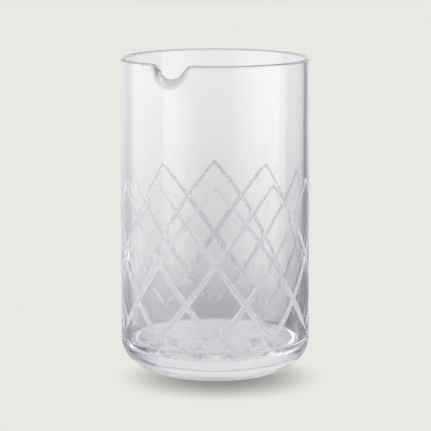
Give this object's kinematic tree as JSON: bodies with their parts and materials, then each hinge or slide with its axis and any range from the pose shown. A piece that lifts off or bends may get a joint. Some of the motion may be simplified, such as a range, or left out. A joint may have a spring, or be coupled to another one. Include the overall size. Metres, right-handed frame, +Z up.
{
  "type": "mixing glass",
  "caption": "Tall straight-sided glass vessel with a thick rounded base, a pouring lip pressed into the rim and V-shaped cuts crossing in diamonds.",
  "frame": {"origin": "centre of the resting face, on the surface the glass stands on", "axes": "+Z up along the vessel's axis; the pouring lip points along -Y; +X is to the right seen from the lip's side"},
  "size_m": [0.09, 0.0914, 0.151],
  "materials": {
    "clear_glass": "clear, polished, with ground V-cuts"
  },
  "bodies": {
    "root": {"glass_body": "clear_glass"}
  },
  "joints": []
}
